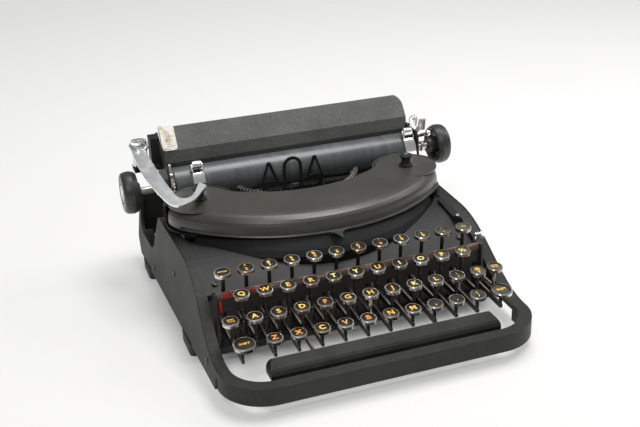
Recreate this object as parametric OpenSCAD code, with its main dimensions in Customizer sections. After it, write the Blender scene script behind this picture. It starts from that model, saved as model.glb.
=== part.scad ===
// Portable typewriter with four rows of keys, front-strike type bars in a
// slotted segment, a crescent ribbon cover and a full-width carriage.
// X runs to the typist's right, Y to the back and Z up from the table.
// The origin is on the table, under the middle of the frame.

/* [Frame] */
// Width of the frame over its bottom edges at the front
frame_w = 263; // [260:1:268]
// Depth of the frame from the front rail to the back edge
frame_d = 311; // [308:1:316]
// Height of the rubber feet under the frame
foot_h = 10; // [6:1:12]
// Height of the front rail
rail_h = 15; // [12:1:17]
// Thickness of the front rail, front to back
rail_t = 10; // [8:1:11]
// Outer radius of the front corners
corner_r = 38; // [32:1:42]
// Thickness of the side panels
sheet = 3; // [2:0.5:4]
// Width of the flange along the top of each side panel
flange_w = 10; // [8:0.5:10.5]
// Angle by which the side panels spread towards the back
side_flare = 1.83; // [1.6:0.05:2]
// Angle by which the side panels lean in towards the top
side_lean = 7.1; // [6.8:0.1:7.4]
// Thickness of the deck, shroud and inner plates
plate_t = 2; // [1.5:0.25:2]

/* [Keyboard] */
// Distance between key centres in a row
pitch = 19.05; // [18.9:0.05:19.1]
// X of the first letter key in the upper row
upper_x = -97.5; // [-98:0.25:-97]
// Outer radius of a letter key's ring
key_r = 6.8; // [6.5:0.05:7.2]
// Outer radius of a shift key's ring
shift_r = 8.9; // [8.5:0.1:9.3]
// Height of a key's ring
ring_h = 3; // [2.6:0.1:3.5]
// Wall of a key's ring
ring_t = 1.1; // [0.9:0.1:1.4]
// Lean of the key tops towards the typist
key_lean = 6; // [4:0.5:7]
// Y of the lowest key row
lower_y = -115; // [-116:0.5:-114]
// Height of the lowest key row's tops
lower_z = 42; // [41:0.5:43]
// Thickness of a key lever
lever_t = 1.6; // [1.2:0.1:1.7]
// Depth of a key lever
lever_d = 5; // [4.5:0.25:5.5]
// Radius of the shaft that the key levers turn on
shaft_r = 2.5; // [2:0.25:2.75]
// Running clearance of shafts and pins
fit = 0.05; // [0.03:0.01:0.08]

/* [Space bar] */
// Length of the space bar
space_l = 190; // [184:1:194]
// Depth of the space bar, front to back
space_d = 14; // [12:0.5:15]
// Height of the space bar
space_h = 15; // [13:0.5:16]

/* [Ribbon cover] */
// Height of the cover's flat top
cover_z = 95; // [94.5:0.25:95.5]
// Radius of the crescent's front edge
cover_r = 155; // [154:0.5:156]
// Thickness of the cover
cover_t = 1.6; // [1.2:0.1:1.8]
// Distance of each spool's centre from the middle
spool_x = 98; // [97.5:0.25:98.5]
// Y of the spool centres
spool_y = 47; // [46.5:0.25:47.5]
// Radius of a ribbon spool
spool_r = 26; // [24:0.5:26.5]
// Outer radius of a spool cup
cup_r = 31.5; // [31:0.25:31.75]

/* [Type bars] */
// Number of type bars in the segment
bar_count = 40; // [32:1:42]
// Angle of the outermost type bar from the middle
bar_fan = 68; // [64:1:70]
// Radius of the segment's pivot wire
pivot_r = 26; // [25.5:0.25:26.5]
// Height of the pivot wire
pivot_z = 45; // [44.5:0.25:45.5]
// Thickness of a type bar
bar_t = 1; // [0.8:0.1:1]
// Clearance each side of a type bar in its slot
slot_gap = 0.1; // [0.08:0.01:0.1]

/* [Carriage] */
// Length of the platen's rubber
platen_l = 236; // [234:0.5:237]
// Radius of the platen
platen_r = 16.5; // [16:0.25:16.75]
// X of the platen's middle with the carriage at rest
carriage_x = 9.5; // [8.5:0.5:10.5]
// Radius of the platen knobs
knob_r = 19.5; // [18:0.5:20]
// Radius of the platen's shaft
core_r = 3; // [2.5:0.25:3.25]
// Thickness of the carriage's end plates
end_t = 2; // [1.5:0.25:2.25]
// Number of teeth on the line ratchet
ratchet_teeth = 30; // [24:1:36]
// Thickness of the paper table
table_t = 1.4; // [1:0.1:1.6]

/* [Hidden] */

$fn = 48;
eps = 0.01;
body_grey = [0.20, 0.20, 0.19];
deck_black = [0.08, 0.08, 0.085];
nickel = [0.78, 0.76, 0.72];
steel_dark = [0.16, 0.15, 0.15];
rubber_grey = [0.22, 0.24, 0.26];
comb_brown = [0.25, 0.15, 0.12];

front_y = -frame_d / 2;
back_y = frame_d / 2;
rail_top = foot_h + rail_h;
rail_in_y = front_y + rail_t;

// Driving lines of the side panels, along the panel (u) and up it (w)
flange_rise = bez([corner_r, rail_h], [84, rail_h], [100, 62], [150, 62], 12);
flange_t = 3;

// Inner plates and cross members
plate_x = frame_w / 2 - 16.5;
cross_w = 12;
cross_h = 6;
comb_y = -66;
comb_t = 1.6;
comb_top = 61;
bed_z = 56;
cross_ys = [comb_y, back_y - 22.5];
plate_z = foot_h + cross_h;
back_plate_y = back_y - 17.5;
foot_ys = [front_y + 122, back_y - 40];

// Key rows, from the lowest to the highest: Y, top Z, depth of the hook below
// the key top, first column in pitches from the upper row's first letter, count
row_lower = [lower_y, lower_z, 15, 0.75, 10];
row_home = [lower_y + 18.5, lower_z + 10.9, 20, -0.75, 12];
row_upper = [lower_y + 37.2, lower_z + 21.8, 26, 0, 11];
row_number = [lower_y + 55.1, lower_z + 34.3, 34, -0.5, 12];
h_index = 6;
fulcrum = [38, 34];
eye_r = shaft_r + 2.5;
post_r = 1.5;
boss_r = 2.6;
boss_h = 1.1;
disc_gap = 0.05;
recess_d = 1.2;
disc_t = 0.9;
shift_cols = [-0.5, 10.87];
shift_lever_cols = [-0.6, 10.87];
backspace_at = [112.8, lower_y + 18, lower_z + 12];
arm_cols = [2.375, 7.875];
arm_t = 1.2;
slot_play = 0.5;
space_y = front_y + rail_t + 4 + space_d;
space_z = 18;

// Deck and shroud
deck_edge_x = frame_w / 2 - 12.2;
deck_front = [-47, 52.5];
deck_back = [34, 69];
deck_line = bez(deck_front, [-31, 60], [-18, 67.5], [0, 68.6], 8);
shroud_r = 137;
shroud_c = shroud_r - 41;
latch_at = [plate_x - 0.2, -25, 67.4];
latch_tilt = 8;

// Cover
end_r = cup_r - 2.4;
arc_reach = cover_r - end_r;
arc_c = spool_y + sqrt(pow(arc_reach, 2) - pow(spool_x, 2));
arc_half = atan(spool_x / (arc_c - spool_y));
inner_c = 150;
inner_r = 118;
skirt_z = 78;
cup_floor = 74;
cup_wall = 1.5;
lid_gap = 1.8;
spool_h = 11.5;

// Type bars
strike = [91.5, 95];
bar_l = norm([pivot_r, strike.y - pivot_z]);
rest_r = 61;
rest_lean = asin((rest_r - pivot_r) / bar_l);
bar_step = 2 * bar_fan / (bar_count - 1);
h_bar = floor(bar_count / 2);
segment_in = pivot_r - 3;
segment_out = pivot_r + 7;
segment_z = [pivot_z - 6, pivot_z + 5];
holder_y = strike.x - 4.1;

// Carriage
platen = [strike.x + platen_r, 87];
left_x = carriage_x - platen_l / 2;
right_x = carriage_x + platen_l / 2;
left_plate = left_x - 7.5;
right_plate = right_x + 3;
beam_z = 63.4;
roller_r = 2.1;
bed_t = 3;
table_line = [[126, 96], [122.5, 104], [124, 115], [138, 133.5]];
table_l = left_x - 4.5;
table_r = right_x + 4.9;
guide_w = 14;
lever_pivot = [left_plate - 18.5, 122];
lever_z = 127;
lever_tilt = 11.2;
screw_gap = 0.8;
margin_rail = [140, 71];
table_rod = [134, 99];
feed_r = 3.4;
roller_c = platen - (platen_r + feed_r + 0.05) * [cos(49), sin(49)];
finger_pin = [90.6, 68.4];
finger_xs = [left_x + 15.5, right_x - 9.5];
finger_turns = [113, 108];
wheel_r = 4.3;
pawl_pin = [95.5, 101.5];
release_pin = [128, 90];

function bez(a, b, c, d, n) = [for (i = [0:n]) let (t = i / n, s = 1 - t)
    s * s * s * a + 3 * s * s * t * b + 3 * s * t * t * c + t * t * t * d];
function flip(list) = [for (i = [len(list) - 1:-1:0]) list[i]];
function col_x(col) = upper_x + col * pitch;

// A profile drawn as [y, z], extruded along +X
module yz(h) rotate([90, 0, 90]) linear_extrude(h) children();
// A profile drawn as [x, z], extruded along +Y
module xz(h) translate([0, h, 0]) rotate([90, 0, 0]) linear_extrude(h) children();
module rod_x(l, r) rotate([0, 90, 0]) cylinder(h = l, r = r);
module rod_y(l, r) rotate([-90, 0, 0]) cylinder(h = l, r = r);
module both_sides() {
    children();
    mirror([1, 0, 0]) children();
}
// A straight bar of width w from p to q in a flat profile, with round ends.
// The bar is a little narrower than its ends, so that their edges cross cleanly.
module link2d(p, q, w) {
    d = q - p;
    waist = 0.97 * w;
    translate(p) rotate(atan2(d.y, d.x)) translate([0, -waist / 2]) square([norm(d), waist]);
    translate(p) circle(w / 2);
    translate(q) circle(w / 2);
}
module rounded(w, d, r) {
    translate([-w / 2 + r, -d / 2]) square([w - 2 * r, d]);
    translate([-w / 2, -d / 2 + r]) square([w, d - 2 * r]);
    for (x = [-1, 1], y = [-1, 1])
        translate([x * (w / 2 - r), y * (d / 2 - r)]) circle(r);
}

// The plane of the right-hand side panel: x is outward, y along it, z up it
module on_side()
    translate([frame_w / 2, front_y, foot_h])
        rotate([0, 0, -side_flare]) rotate([0, -side_lean, 0]) children();

module side_profile()
    difference() {
        polygon(concat([[corner_r, 0]], flange_rise,
            [[218, 62.5], [frame_d, 60], [frame_d, 12], [frame_d - 14, 0]]));
        carriage_notch();
    }
module carriage_notch() {
    translate([258, 38]) circle(15);
    translate([288, 38]) circle(15);
    translate([258, 23]) square([30, 60]);
    translate([243, 38]) square([60, 60]);
    polygon([[243, 38], [243, 70], [228, 70], [236, 54]]);
}

// Outer face of the right-hand panel at u along it and w up it
function side_x(u, w) = frame_w / 2 + u * sin(side_flare) - w * sin(side_lean);
// A bar of depth d between the side panels, from z0 to z1, ending inside their sheet
module cross_bar(y, d, z0, z1) {
    lo = side_x(y - front_y, z0 - foot_h) - sheet / 2;
    hi = side_x(y - front_y, z1 - foot_h) - sheet / 2;
    translate([0, y, 0]) xz(d) polygon([[-lo, z0], [lo, z0], [hi, z1], [-hi, z1]]);
}

module base_frame() color(body_grey) {
    both_sides() on_side() {
        translate([-sheet, 0, 0]) yz(sheet) side_profile();
        translate([-flange_w, 0, 0]) yz(flange_w) difference() {
            side_profile();
            translate([0, -flange_t]) side_profile();
            translate([-1, -1]) square([corner_r + 3, 80]);
            translate([frame_d - 16, -1]) square([20, 80]);
        }
    }
    translate([0, 0, foot_h]) linear_extrude(rail_h) intersection() {
        difference() {
            rounded(frame_w - 1, frame_d, corner_r);
            rounded(frame_w - 1 - 2 * rail_t, frame_d - 2 * rail_t, corner_r - rail_t);
        }
        translate([-frame_w / 2, front_y]) square([frame_w, corner_r + 4]);
    }
    for (y = cross_ys) cross_bar(y - cross_w / 2, cross_w, foot_h, foot_h + cross_h);
    cross_bar(back_y - 3.1, 3, foot_h + 12, foot_h + 55);
}

// Each foot is grooved for the lower edge of its side panel
module rubber_feet() color(deck_black) both_sides() difference() {
    for (y = foot_ys) translate([side_x(y - front_y, 0) - 5, y, 0])
        linear_extrude(foot_h) rounded(12, 34, 5);
    on_side() translate([-sheet, 0, 0]) cube([sheet, frame_d, 10]);
}

module inner_plates() color(steel_dark) both_sides()
    translate([plate_x, 0, 0]) yz(plate_t) difference() {
        polygon(concat([[comb_y - 4, plate_z], [comb_y - 4, comb_top - 6],
            [comb_y - 2, comb_top], [comb_y + comb_t + 2, comb_top],
            deck_front - [4, 6], deck_front - [0, 6]],
            [for (p = deck_line) p - [0, plate_t]],
            [deck_back - [0, plate_t], [deck_back.x + 1, cup_floor], [78, cup_floor],
                [86, bed_z], [back_plate_y + plate_t, bed_z],
                [back_plate_y + plate_t, plate_z]]));
        translate(fulcrum) circle(shaft_r);
        for (y = [-40, 8, 84, 112]) translate([y, 28]) circle(8);
    }

module back_plate() color(steel_dark) {
    translate([-plate_x, back_plate_y, plate_z]) xz(plate_t) difference() {
        square([2 * plate_x, bed_z - plate_z]);
        translate([plate_x, 12]) square([70, 36], center = true);
    }
    translate([-80, back_plate_y + plate_t, 36]) rod_y(10, 3);
    translate([70, back_plate_y + plate_t, 38]) rod_y(9.8 - plate_t, 2);
}

module deck_panel() color(body_grey) {
    deck_sheet();
    translate(latch_at) rotate([latch_tilt, 0, 0]) {
        translate([0, 0, -6]) cylinder(h = 4.5, r = 2.6);
        translate([0, 0, -6]) cylinder(h = 8.5, r = 1.6);
        translate([0, 0, 1.5]) cylinder(h = 1.6, r = 2.6);
    }
}
module deck_sheet() difference() {
    translate([-deck_edge_x, 0, 0]) yz(2 * deck_edge_x) polygon(concat(
        deck_line, [deck_back, deck_back - [0, plate_t]],
        [for (p = flip(deck_line)) p - [0, plate_t]],
        [deck_front - [0, 5], deck_front - [1.5, 5], deck_front - [1.5, 0.8]]));
    translate([0, shroud_c, 0]) cylinder(h = 100, r = shroud_r, $fn = 160);
}

module basket_shroud() color(deck_black) difference() {
    translate([0, shroud_c, 0]) rotate([0, 0, -90 - 56]) rotate_extrude(angle = 112, $fn = 160)
        polygon([[shroud_r - plate_t, 48], [shroud_r, 48], [shroud_r, 64],
            [shroud_r - 3, 69], [shroud_r - 11, skirt_z - 0.4],
            [shroud_r - 11 - plate_t, skirt_z - 0.4], [shroud_r - 3 - plate_t, 68],
            [shroud_r - plate_t, 63]]);
    both_sides() translate([spool_x, spool_y, cup_floor - 0.4])
        cylinder(h = 20, r = cup_r + 0.4);
}

module spool_cups() color(body_grey) both_sides() translate([spool_x, spool_y, 0]) {
    translate([0, 0, cup_floor]) cylinder(h = cup_wall, r = cup_r - cup_wall / 2);
    rotate([0, 0, 10]) rotate_extrude(angle = 153)
        translate([cup_r - cup_wall, cup_floor]) square([cup_wall, cover_z - 0.4 - cup_floor]);
    translate([0, 0, cup_floor]) cylinder(h = cover_z - cover_t - cup_floor, r = shaft_r);
}

module key_comb() color(comb_brown) translate([-plate_x, comb_y, 0]) xz(comb_t)
    difference() {
        translate([0, plate_z]) square([2 * plate_x, comb_top - plate_z]);
        for (x = lever_xs()) comb_slot(x, lever_t + slot_play);
        for (c = arm_cols) comb_slot(col_x(c), arm_t + slot_play);
    }
module comb_slot(x, w) translate([plate_x + x - w / 2, plate_z - 1]) square([w, 45 - plate_z]);
function lever_xs() = concat(
    [for (r = [row_lower, row_home, row_upper], i = [0:r[4] - 1]) col_x(r[3] + i)],
    [for (c = shift_lever_cols) col_x(c)], [backspace_at.x]);

module lever_shaft() color(nickel)
    translate([-plate_x - plate_t, fulcrum.x, fulcrum.y])
        rod_x(2 * (plate_x + plate_t), shaft_r);

// The flat lever under a key whose top is at [y, z], with its hook drop below
module lever_plate(x, key, drop) {
    hook = [key.x + 1, key.y - drop];
    translate([x - lever_t / 2, 0, 0]) yz(lever_t) difference() {
        union() {
            translate(fulcrum) circle(eye_r);
            link2d(fulcrum, hook, lever_d);
            link2d(hook, [key.x + 1, key.y - drop / 2 - 2], lever_d - 2);
        }
        translate(fulcrum) circle(shaft_r + fit);
    }
}
module key_place(x, key) translate([x, key.x, key.y]) rotate([key_lean, 0, 0]) children();
module key_lever(x, key, drop) {
    lever_plate(x, key, drop);
    key_place(x, key) translate([0, 0, -drop / 2 - 3])
        cylinder(h = drop / 2 + 3 - ring_h - boss_h, r = post_r);
}
module key_ring(r) difference() {
    union() {
        translate([0, 0, -ring_h]) cylinder(h = ring_h - 0.6, r = r);
        translate([0, 0, -0.6]) cylinder(h = 0.6, r1 = r, r2 = r - 0.5);
        translate([0, 0, -ring_h - boss_h]) cylinder(h = boss_h, r = boss_r);
    }
    translate([0, 0, -recess_d]) cylinder(h = 2, r = r - ring_t);
}
module key_disc(r) {
    edge = r - ring_t - disc_gap;
    rotate_extrude() polygon(concat([[0, -recess_d], [edge, -recess_d]],
        bez([edge, -recess_d + 0.4], [edge - 0.3, -0.35], [edge * 0.55, 0], [0, 0], 6)));
}

function row_cols(row) = [for (i = [0:row[4] - 1]) if (row != row_home || i != h_index) row[3] + i];
module row_levers(row) color(steel_dark)
    for (c = row_cols(row)) key_lever(col_x(c), [row[0], row[1]], row[2]);
module row_rings(row) color(nickel)
    for (c = row_cols(row)) key_place(col_x(c), [row[0], row[1]]) key_ring(key_r);
module row_discs(row) color(deck_black)
    for (c = row_cols(row)) key_place(col_x(c), [row[0], row[1]]) key_disc(key_r);

module shift_levers() color(steel_dark) for (c = shift_lever_cols)
    key_lever(col_x(c), [row_lower[0], row_lower[1]], row_lower[2]);
module shift_rings() color(nickel) for (c = shift_cols)
    key_place(col_x(c), [row_lower[0], row_lower[1]]) key_ring(shift_r);
module shift_discs() color(deck_black) for (c = shift_cols)
    key_place(col_x(c), [row_lower[0], row_lower[1]]) key_disc(shift_r);

module backspace_key() color(nickel) {
    key_lever(backspace_at.x, [backspace_at.y, backspace_at.z], 20);
    key_place(backspace_at.x, [backspace_at.y, backspace_at.z]) {
        key_ring(key_r);
        key_disc(key_r);
    }
}
module key_h() color(nickel) {
    x = col_x(row_home[3] + h_index);
    key_lever(x, [row_home[0], row_home[1]], row_home[2]);
    key_place(x, [row_home[0], row_home[1]]) {
        key_ring(key_r);
        key_disc(key_r);
    }
}

module space_bar() color(deck_black)
    translate([-space_l / 2, 0, space_z]) intersection() {
        translate([0, space_y - space_d, 0]) yz(space_l) polygon([[0.8, 0], [space_d, 0],
            [space_d, space_h - 1], [space_d - 1, space_h], [3.5, space_h - 3.5],
            [1.5, space_h - 5], [0, space_h - 7.5], [0, 0.8]]);
        translate([space_l / 2, space_y - space_d, space_h / 2 - 1])
            xz(space_d) rounded(space_l, space_h + 2, 7);
    }
module space_bar_arms() color(steel_dark) for (c = arm_cols)
    translate([col_x(c) - arm_t / 2, 0, 0]) yz(arm_t) difference() {
        union() {
            translate(fulcrum) circle(eye_r);
            link2d(fulcrum, [space_y + 3.5, space_z + 2.6], 5);
            translate([space_y, space_z]) square([3.5, space_h - 4]);
        }
        translate(fulcrum) circle(shaft_r + fit);
    }

// Places radially arranged type parts: -Y is outward, turned by a
module at_bar(a) translate([0, strike.x, 0]) rotate([0, 0, a]) children();
module typebar(play) {
    head = [-pivot_r - bar_l * sin(rest_lean), pivot_z + bar_l * cos(rest_lean)];
    translate([-bar_t / 2, 0, 0]) yz(bar_t) difference() {
        union() {
            translate([-pivot_r, pivot_z]) circle(2.8);
            link2d([-pivot_r, pivot_z], head, 3.4);
        }
        translate([-pivot_r, pivot_z]) circle(1 + play);
    }
    translate([-1.2, head.x, head.y]) rotate([rest_lean, 0, 0])
        translate([0, -0.5, -5.5]) cube([2.4, 3.2, 8]);
}
module typebars() color(nickel) for (i = [0:bar_count - 1])
    if (i != h_bar) at_bar(-bar_fan + i * bar_step) typebar(0);
module typebar_h() color(nickel) at_bar(-bar_fan + h_bar * bar_step) typebar(fit);

module type_segment() color(steel_dark) {
    difference() {
        translate([0, 0, segment_z[0]]) linear_extrude(segment_z[1] - segment_z[0]) {
            translate([0, strike.x]) difference() {
                intersection() {
                    circle(segment_out);
                    translate([-2 * segment_out, -2 * segment_out])
                        square([4 * segment_out, 2 * segment_out + 2]);
                }
                circle(segment_in);
            }
            translate([-plate_x, strike.x]) square([2 * plate_x, 9]);
        }
        for (i = [0:bar_count - 1]) at_bar(-bar_fan + i * bar_step)
            translate([-bar_t / 2 - slot_gap, -segment_out - 1, segment_z[0] + 2])
                cube([bar_t + 2 * slot_gap, segment_out - segment_in + 2, 20]);
    }
    for (i = [0:bar_count - 1]) at_bar(-bar_fan + i * bar_step)
        translate([-bar_t / 2 - slot_gap - 0.1, -pivot_r, pivot_z])
            rod_x(bar_t + 2 * slot_gap + 0.2, 1);
}

module card_holders() color(steel_dark) both_sides() {
    translate([0, holder_y, 0]) xz(1) difference() {
        union() {
            translate([10, 78]) square([22, 5]);
            translate([26, segment_z[1]]) square([4, 30]);
            polygon([[13, 82], [31, 82], [24, 103], [21, 103]]);
        }
        polygon([[16.5, 84.5], [28, 84.5], [22.8, 99.5]]);
    }
    translate([26, holder_y, segment_z[1]]) cube([4, strike.x - holder_y + 5, 1.5]);
}
module ribbon_vibrator() color(deck_black) translate([0, holder_y - 1.3, 0]) xz(1) {
    difference() {
        union() {
            translate([0, 96.2]) circle(9.5);
            translate([-9.5, segment_z[1] + 4]) square([19, 92.2 - segment_z[1]]);
        }
        translate([0, 96.2]) circle(6.5);
        translate([-6.5, 66]) square([13, 30.2]);
    }
}

// The rolled bead along the middle's lower edge
function cover_bead(r) = [[r + 1.7, skirt_z + 2], [r + 2.4, skirt_z + 1], [r + 1.7, skirt_z]];
// The wall section of the crescent cover, out to radius r from its centre.
// s thins it on both faces, so that the ends run into the middle's wall.
function cover_section(from, r, bead = [], s = 0) = concat(
    [[from, cover_z - s]],
    bez([r - 17, cover_z - s], [r - 5, cover_z - s], [r - s, cover_z - 4], [r - s, skirt_z + 2], 8),
    bead, [[r - s, skirt_z + s], [r - cover_t + s, skirt_z + s]],
    flip(bez([r - 17, cover_z - cover_t + s], [r - 6, cover_z - cover_t + s],
        [r - cover_t + s, cover_z - 5], [r - cover_t + s, skirt_z + 2], 8)),
    [[from, cover_z - cover_t + s]]);
module ribbon_cover() color(body_grey) {
    difference() {
        translate([0, arc_c, 0]) rotate([0, 0, -90 - arc_half])
            rotate_extrude(angle = 2 * arc_half, $fn = 160)
                polygon(cover_section(88, cover_r, cover_bead(cover_r)));
        translate([0, inner_c, 60]) cylinder(h = 50, r = inner_r, $fn = 160);
    }
    both_sides() translate([spool_x, spool_y, 0]) {
        rotate([0, 0, arc_half - 91]) rotate_extrude(angle = 99 - arc_half)
            polygon(cover_section(0, end_r, [], 0.05));
        translate([0, 0, cover_z - cover_t]) cylinder(h = cover_t, r = cup_r - cup_wall - lid_gap);
    }

    // The pointed tongue at the middle of the front bead
    beak_y = arc_c - cover_r;
    translate([0, 0, skirt_z + 0.3]) linear_extrude(1.4) polygon(concat(
        bez([-13, beak_y + 1], [-6, beak_y - 2], [-1.5, beak_y - 6], [-0.8, beak_y - 16], 8),
        bez([0.8, beak_y - 16], [1.5, beak_y - 6], [6, beak_y - 2], [13, beak_y + 1], 8)));
}
module cover_knobs() color(deck_black) both_sides()
    translate([spool_x, spool_y, cover_z]) rotate_extrude()
        polygon(concat([[0, 0], [6.2, 0]],
            bez([6.2, 1.5], [3.2, 3.2], [3.2, 7], [6, 8.9], 8), [[6, 10.4], [4.5, 11], [0, 11]]));

module spool(s) color(nickel) translate([s * spool_x, spool_y, cup_floor + cup_wall]) {
    rotate_extrude() polygon([[shaft_r + fit, 0.3], [spool_r, 0.3], [spool_r, 1.1],
        [spool_r - 4, 1.3], [spool_r - 4, spool_h - 1], [spool_r, spool_h - 0.8],
        [spool_r, spool_h], [shaft_r + fit, spool_h]]);
}
module ribbon_spool_left() spool(-1);
module ribbon_spool_right() spool(1);

// A flat bar that lies along the deck and turns on a stud at its front end
module side_latch() color(deck_black) translate(latch_at) rotate([latch_tilt, 0, 0])
    translate([0, 0, -1.2]) linear_extrude(2.4) difference() {
        link2d([0, 0], [0, 33], 6);
        circle(1.6 + fit);
    }
module ribbon_selector() color(nickel) translate([plate_x - 2.2, 0, 0]) {
    yz(1.2) {
        link2d([-56, 47], [-61, 58], 2.4);
        link2d([-61, 58], [-61, 65.5], 2.4);
    }
    translate([0.6, -61, 65.5]) rotate([25, 0, 0]) translate([-0.6, -1, -3.5]) cube([8.4, 2, 7]);
    translate([0, -56, 47]) rod_x(2.2, 1.8);
}

module signal_bell() color(nickel) translate([70, back_plate_y + 11, 38]) rotate([90, 0, 0])
    rotate_extrude() polygon(concat([[0, 0]],
        bez([3, 0], [12, 0], [14, 3], [14, 7], 8), flip(bez([0, 1.2], [11, 1.2], [12.8, 3],
        [12.8, 7], 8))));

module mainspring_drum() color(nickel) translate([-80, back_plate_y + plate_t + 0.3, 36])
    rotate([-90, 0, 0]) difference() {
        union() {
            cylinder(h = 9, r = 16);
            cylinder(h = 1, r = 18);
            translate([0, 0, 8]) cylinder(h = 1, r = 18);
        }
        translate([0, 0, -1]) cylinder(h = 12, r = 3 + fit);
        for (a = [0:60:300]) rotate(a) translate([10, 0, 4]) cylinder(h = 8, r = 2.5);
    }

module carriage_bed() color(steel_dark) {
    translate([-plate_x - plate_t, 94, bed_z]) cube([2 * (plate_x + plate_t), 8, bed_t]);
    translate([-plate_x - plate_t, 128, bed_z]) cube([2 * (plate_x + plate_t), 8, bed_t]);
    for (x = [-70, 70]) translate([x - 6, 101, bed_z]) cube([12, 28, bed_t]);
    for (x = [-60, -20, 20, 60], y = [95, 129])
        translate([x, y, bed_z + bed_t + roller_r - 0.1]) rod_y(6, roller_r);
}

// The end plates of the carriage: the left one rises beside the paper table's end,
// the right one stays below it and has a slot that the table's sheet drops into
plate_front = [[144, beam_z], [91, beam_z], [91, 80], [92.5, 101], [97, 108], [114, 108]];
module left_profile()
    polygon(concat(plate_front, [[120, 120], [136, 131], [140, 129], [142, 100]]));
module right_profile()
    polygon(concat(plate_front, [[120, 110], [121, 104], [124.6, 95], [124.6, 93.5],
        [128.5, 93.5], [128, 101], [137, 105], [142, 100]]));
module carriage_frame() color(steel_dark) {
    translate([left_plate, 93, beam_z]) cube([right_plate - left_plate, 10, 2.4]);
    translate([left_plate, 127, beam_z]) cube([right_plate - left_plate, 16, 2.4]);
    for (x = [left_plate, right_plate]) translate([x, 0, 0]) yz(end_t) difference() {
        if (x == left_plate) left_profile(); else right_profile();
        translate(platen) circle(core_r + fit);
        translate(roller_c) circle(1.5 + fit);
    }
    translate([left_plate, margin_rail.x, margin_rail.y]) rod_x(right_plate - left_plate, 2.5);
    translate([left_plate, table_rod.x, table_rod.y]) rod_x(right_plate - left_plate, 1.5);
    for (x = finger_xs) translate([x - 2, 0, 0]) {
        translate([0, 88.8, beam_z]) cube([1.6, 6, 2.4]);
        translate([0, finger_pin.x, finger_pin.y]) rod_x(15, 0.8);
        for (dx = [0, 13.4]) translate([dx, finger_pin.x - 1.8, beam_z]) cube([1.6, 3.6, 5]);
        translate([0, finger_pin.x - 1.8, beam_z]) cube([15, 6, 1.5]);
    }
    translate([left_plate - 8, 122, 104]) cube([8.5, 14, 26]);
    translate([lever_pivot.x - 7, 115, 102]) cube([left_plate - lever_pivot.x + 8, 14, 4]);
    translate([lever_pivot.x, lever_pivot.y, 102]) cylinder(h = lever_z + screw_gap - 102, r = 3);
    translate([left_plate, pawl_pin.x, pawl_pin.y]) rod_x(end_t + 3, 1.2);
    translate([right_plate, 122, 96]) rod_x(end_t + 3, 2);
    translate([right_plate, release_pin.x, release_pin.y]) rod_x(end_t + 15, 2);
}

module platen_rubber() color(rubber_grey) translate([left_x, platen.x, platen.y])
    difference() {
        rod_x(platen_l, platen_r);
        translate([-1, 0, 0]) rod_x(platen_l + 2, platen_r - 2.5);
    }
module platen_core() color(nickel) translate([0, platen.x, platen.y]) {
    translate([left_x, 0, 0]) rod_x(platen_l, platen_r - 2.5);
    translate([left_x - 47.5, 0, 0]) rod_x(platen_l + 47.5 + 39.5, core_r);
    translate([left_plate - 9, 0, 0]) rod_x(8, 6.6);
    translate([right_plate + end_t + 9, 0, 0]) rod_x(3, 5);
    translate([left_x - 48, 0, 0]) rod_x(1, 8);
    translate([right_x + 39, 0, 0]) rod_x(1, 8);
}
// Half section of a platen knob: the hub, the hollow round it, the rim, the outer face
module knob_profile(hub) rotate_extrude() polygon(concat(
    [[core_r, -hub], [7.6, -hub], [8, 4.5], [knob_r - 6, 4.5], [knob_r - 4.2, 0.4]],
    bez([knob_r - 3.4, 0], [knob_r - 2.4, 0], [knob_r - 1.4, 0.8], [knob_r - 0.8, 3], 4),
    bez([knob_r, 5], [knob_r + 0.2, 10], [knob_r - 0.5, 13], [knob_r - 3, 14], 6),
    [[10, 14], [9, 13], [core_r, 13]]));
module platen_knobs() color(deck_black) translate([0, platen.x, platen.y]) {
    translate([left_x - 34, 0, 0]) rotate([0, -90, 0]) knob_profile(2.5);
    translate([right_x + 26, 0, 0]) rotate([0, 90, 0]) knob_profile(5);
}
module ratchet_wheel() color(nickel) translate([left_x - 4.5, platen.x, platen.y])
    rotate([90, 0, 90]) linear_extrude(3) difference() {
        polygon([for (i = [0:ratchet_teeth - 1], k = [0, 1])
            let (a = (i + k * 0.25) * 360 / ratchet_teeth, r = 15 - 1.6 * k)
                r * [cos(a), sin(a)]]);
        circle(core_r);
    }

module feed_roller() color(rubber_grey) translate([0, roller_c.x, roller_c.y]) {
    translate([left_plate - 0.5, 0, 0]) rod_x(right_plate - left_plate + end_t + 1, 1.5);
    for (i = [0:3]) translate([left_x + 38 + i * (platen_l - 104) / 3, 0, 0]) rod_x(28, feed_r);
}

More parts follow.
